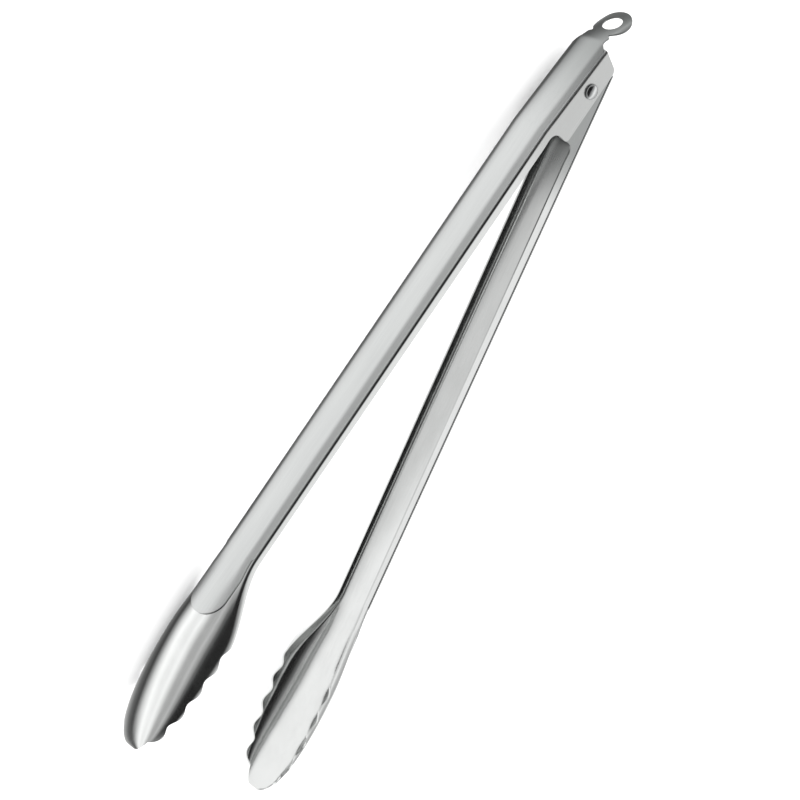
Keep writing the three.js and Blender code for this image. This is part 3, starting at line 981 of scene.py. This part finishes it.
def satinSteel(name, turn):
    # brushed along the arm: fine streaks, a softer cloud of tone, and a few longer scratches,
    # with painted shade that darkens it toward the ring
    finish = Finish(name)
    grain, hair, cloud, marks = (
        finish.streaks(turn, satin[key]) for key in ("grain", "hair", "cloud", "scratch")
    )
    scratch = finish.ramp(marks, *satin["scratchRange"])
    tone = finish.ramp(grain * 0.7 + cloud * 0.3, *satin["toneRange"])
    colour = finish.mixed(tone, satin["dark"], satin["light"])
    place = finish.parts(finish.along(turn, (1, 1, 1)))[0]
    # painted shade: the satin's colour is darkened toward the ring's end of the arm
    paintedShade = finish.ramp(place, *satin["paintedShadeRange"], 1, 0)
    colour = finish.mixed(paintedShade, colour, satin["paintedShade"])
    roughness = satin["roughness"] + (grain - 0.5) * satin["grainRoughness"]
    roughness = roughness + (cloud - 0.5) * satin["cloudRoughness"]
    height = grain * 0.6 + hair * 0.4 - scratch * 0.25
    return finish.close(colour, roughness, finish.bump(height, satin["bump"]))


polished = {
    "lines": (0.016, 0.00012, 3.0, 0.6),
    "smudge": (0.022, 0.014, 4.0, 0.6),
    "hair": (0.009, 0.0002, 1.0, 0.5),
    "grain": (0.02, 0.0003, 4.0, 0.6),
    "toneRange": (0.35, 0.65),
    "hairRange": (0.70, 0.76),
    "smudgeRange": (0.52, 0.75),
    "dark": (0.60, 0.608, 0.602, 1),
    "light": (0.66, 0.668, 0.662, 1),
    "outerCheek": (0.56, 0.568, 0.562, 1),
    # painted shade: the plain arm's cheek, beside the ring arm's cheek, is coloured darker
    "paintedShadeCheek": (0.36, 0.37, 0.366, 1),
    "cheekRange": (0.03, 0.07),
    "roughness": 0.15,
    "lineRoughness": 0.03,
    "smudgeRoughness": 0.05,
    "hairRoughness": 0.06,
    "cheekRoughness": 0.29,
    "grainRoughness": 0.1,
    "bump": 0.12,
}


def polishedSteel(name, turn, cheekToneAndShade):
    # mirror-polished, with faint polishing lines and handling marks, and brushed cheeks in the given
    # cheek colour, which on the plain arm is painted shade
    finish = Finish(name)
    lines, smudge, marks, grain = (
        finish.streaks(turn, polished[key]) for key in ("lines", "smudge", "hair", "grain")
    )
    hair = finish.ramp(marks, *polished["hairRange"])
    tone = finish.ramp(lines * 0.5 + smudge * 0.5, *polished["toneRange"])
    colour = finish.mixed(tone, polished["dark"], polished["light"])
    roughness = polished["roughness"] + (lines - 0.5) * polished["lineRoughness"]
    roughness = roughness + finish.ramp(smudge, *polished["smudgeRange"]) * polished["smudgeRoughness"]
    roughness = roughness + hair * polished["hairRoughness"]
    place = finish.parts(finish.along(turn, (1, 1, 1)))[0]
    brushed = finish.ramp(place, *polished["cheekRange"], 1, 0)
    dull = polished["cheekRoughness"] + (grain - 0.5) * polished["grainRoughness"]
    roughness = roughness + brushed * (dull - roughness)
    # the cheek's colour: its own brushed tone on the ring arm, painted shade on the plain arm
    colour = finish.mixed(brushed, colour, cheekToneAndShade)
    return finish.close(colour, roughness, finish.bump(lines - hair * 0.5, polished["bump"]))


turnedFinish = {
    "patch": (0.003, 0.003, 3.0, 0.55),
    "ringShare": 0.12,
    "toneRange": (0.35, 0.65),
    "patchRange": (0.5, 0.75),
    "fineRoughness": 0.06,
    "patchRoughness": 0.08,
    "bump": 0.15,
}


def turnedSteel(name, dark, light, roughness, scale):
    # small machined or drawn parts: fine rings of tone with a few dull patches
    finish = Finish(name)
    size = (scale, scale, scale * turnedFinish["ringShare"])
    fine = finish.noise(finish.along(0, size), 1.0, 3.0, 0.6)
    patch = finish.streaks(0, turnedFinish["patch"])
    tone = finish.ramp(fine * 0.4 + patch * 0.6, *turnedFinish["toneRange"])
    colour = finish.mixed(tone, dark, light)
    dull = finish.ramp(patch, *turnedFinish["patchRange"]) * turnedFinish["patchRoughness"]
    rough = roughness + (fine - 0.5) * turnedFinish["fineRoughness"] + dull
    return finish.close(colour, rough, finish.bump(fine, turnedFinish["bump"]))


def dress(piece, material, body, node):
    piece.data.materials.clear()
    piece.data.materials.append(material)
    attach(piece, body)
    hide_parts(node)


smallFinishes = {
    "wire": {"dark": (0.42, 0.43, 0.43, 1), "light": (0.56, 0.57, 0.57, 1),
             "roughness": 0.24, "scale": 0.0006},
    "strip": {"dark": (0.50, 0.51, 0.51, 1), "light": (0.64, 0.65, 0.65, 1),
              "roughness": 0.30, "scale": 0.0008},
    "rivet": {"dark": (0.55, 0.56, 0.56, 1), "light": (0.64, 0.65, 0.65, 1),
              "roughness": 0.10, "scale": 0.0005},
}

print("finishing the surfaces")
turn = hinge["halfOpening"]
springSteel = turnedSteel("spring_wire", **smallFinishes["wire"])
plainSteel = turnedSteel("plain_strip", **smallFinishes["strip"])
rivetSteel = turnedSteel("rivet_bright", **smallFinishes["rivet"])
ringPolish = polishedSteel("polished_ring_arm", -turn, polished["outerCheek"])
# the plain arm's cheeks get the painted shade colour
plainPolish = polishedSteel("polished_plain_arm", turn, polished["paintedShadeCheek"])
ringSatin = satinSteel("satin_ring_arm", -turn)
plainSatin = satinSteel("satin_plain_arm", turn)

dress(blades[0], ringPolish, "ring_arm", "ring_arm_blade")
dress(blades[1], plainPolish, "plain_arm", "plain_arm_blade")
dress(covers[0], ringSatin, "ring_arm", "ring_arm_handle")
dress(covers[1], plainSatin, "plain_arm", "plain_arm_handle")
dress(hingeRivet, rivetSteel, "ring_arm", "pivot_rivet")
dress(hingeSleeve, plainSteel, "ring_arm", "pivot_sleeve")
dress(lockCatch, plainSteel, "ring_arm", "lock_catch")
dress(lockLatch, plainSteel, "latch", "lock_latch")
dress(lockPin, plainSteel, "plain_arm", "latch_pin")

# the spring's wire bends from one arm to the other between its two legs
spring.data.materials.append(springSteel)
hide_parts("torsion_spring")
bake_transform(spring)

# Floor, lights and camera

print("setting the floor, the lights and the camera")
studio = {
    "floorSize": 6.0,
    "floorColour": (0.93, 0.93, 0.93, 1),
    "diffuseSky": 1.8,
    # what polished metal mirrors: angle up from the front horizon over the top to the back
    "mirrorSky": ((0, 0.6), (10, 0.75), (21, 0.5), (34, 0.16), (48, 0.03), (62, 0.01), (108, 0.01),
                  (122, 0.4), (138, 1.3), (152, 0.7), (180, 0.5)),
    "mirrorEnds": 0.45,
    "endsFrom": 0.45,
    "endsTo": 0.95,
}


def makeFloor():
    shape = bmesh.new()
    bmesh.ops.create_grid(shape, x_segments=4, y_segments=4, size=studio["floorSize"])
    floor = newPiece("floor", shape, Matrix.Identity(4))
    finish = Finish("floor_pale")
    shader = finish.node("BsdfPrincipled", None, {
        "Base Color": studio["floorColour"], "Roughness": 0.9, "Specular IOR Level": 0.1,
    })
    finish.node("OutputMaterial", None, {"Surface": shader})
    floor.data.materials.append(finish.material)


paintedReflection = {
    "lift": 0.0002,
    "from": -0.06,
    "to": 0.20,
    "strength": 2.0,
    # how bright the card looks to the metal, by its millimetres outward from the ring arm's middle:
    # painted reflections, dark just beside the arm for the shade there and bright further out for
    # highlights
    "levels": ((-60, 1.3), (-52, 1.15), (-38, 0.92), (-15, 0.9), (0, 0.7), (8, 0.2), (14, 0.06),
               (18, 0.45), (22, 1.0), (29, 1.65), (38, 1.32), (49, 1.3), (60, 1.5), (85, 1.15),
               (125, 0.75), (165, 0.62), (200, 0.6)),
}


def makePaintedReflection():
    # a glowing graded card on the floor that only reflections see: painted reflections of shade and
    # highlights for the metal
    shape = bmesh.new()
    bmesh.ops.create_grid(shape, x_segments=2, y_segments=2, size=studio["floorSize"])
    card = newPiece("paintedReflection", shape, Matrix.Translation((0, 0, paintedReflection["lift"])))
    finish = Finish("painted_reflection_card")
    outward = finish.parts(finish.along(-hinge["halfOpening"], (1, -1, 1)))[1]
    reach = paintedReflection["to"] - paintedReflection["from"]
    share = finish.node("MapRange", None, {
        "Value": outward, "From Min": paintedReflection["from"], "From Max": paintedReflection["to"],
    })
    stops = []
    for place, level in paintedReflection["levels"]:
        tone = level / paintedReflection["strength"]
        stops.append(((place * mm - paintedReflection["from"]) / reach, (tone, tone, tone, 1)))
    colour = finish.node("ValToRGB", {"stops": stops}, {"Fac": share})
    glow = finish.node("Emission", None, {"Color": colour, "Strength": paintedReflection["strength"]})
    finish.node("OutputMaterial", None, {"Surface": glow})
    card.data.materials.append(finish.material)
    card.visible_camera = False
    card.visible_diffuse = False
    card.visible_shadow = False


keyLight = {
    "place": (0.2, -1.2, 1.6),
    "aim": (0.0, 0.0, 0.0),
    "size": (1.6, 1.2),
    "radiance": 0.5,
}


def areaLight(name, place, aim, size, radiance):
    lamp = bpy.data.lights.new(name, "AREA")
    lamp.shape = "RECTANGLE"
    lamp.size, lamp.size_y = size
    lamp.energy = radiance * math.pi * size[0] * size[1]
    light = bpy.data.objects.new(name, lamp)
    bpy.context.collection.objects.link(light)
    light.location = place
    light.rotation_euler = (Vector(aim) - Vector(place)).to_track_quat("-Z", "Y").to_euler()
    light.visible_glossy = False
    light.visible_camera = False


def makeSky():
    # an even dome for the floor, and a soft band of light and dark for the metal to mirror
    world = bpy.data.worlds.new("studio")
    bpy.context.scene.world = world
    sky = Finish("studio", world)
    across, along, up = sky.parts(sky.node("TexCoord"))
    rise = sky.node("Math", {"operation": "ARCTAN2"}, {0: up, 1: along * -1.0})
    share = sky.node("Math", {"operation": "DIVIDE"}, {0: rise, 1: math.pi})
    stops = [(angle / 180, (level, level, level, 1)) for angle, level in studio["mirrorSky"]]
    band = sky.node("ValToRGB", {"interpolation": "EASE", "stops": stops}, {"Fac": share})
    ends = sky.node("Math", {"operation": "ABSOLUTE"}, {0: across})
    side = sky.ramp(ends, studio["endsFrom"], studio["endsTo"])
    mirrored = sky.node("Mix", None, {0: side, 2: band, 3: studio["mirrorEnds"]})
    glossy = sky.node("LightPath", output="Is Glossy Ray")
    strength = sky.node("Mix", None, {0: glossy, 2: studio["diffuseSky"], 3: mirrored})
    light = sky.node("Background", None, {"Color": (1, 1, 1, 1), "Strength": strength})
    sky.node("OutputWorld", None, {"Surface": light})


makeFloor()
# painted reflections: a glowing card that only the metal's reflections see
makePaintedReflection()
makeSky()
areaLight("key_light", keyLight["place"], keyLight["aim"], keyLight["size"], keyLight["radiance"])

bpy.context.scene.view_settings.view_transform = "Standard"

camera = {
    "place": (-0.020079, -0.963400, 0.958232),
    "aim": (0.006845, 0.000540, 0.021702),
    "roll": 120.405,
    "lens": 114.546,
    "sensor": 36.0,
}
lens = bpy.data.cameras.new("camera")
lens.lens = camera["lens"]
lens.sensor_width = camera["sensor"]
lens.clip_start, lens.clip_end = 0.01, 50
view = bpy.data.objects.new("camera", lens)
bpy.context.collection.objects.link(view)
view.location = camera["place"]
sight = (Vector(camera["aim"]) - view.location).to_track_quat("-Z", "Y").to_matrix()
view.rotation_euler = (sight @ Matrix.Rotation(math.radians(camera["roll"]), 3, "Z")).to_euler()
bpy.context.scene.camera = view
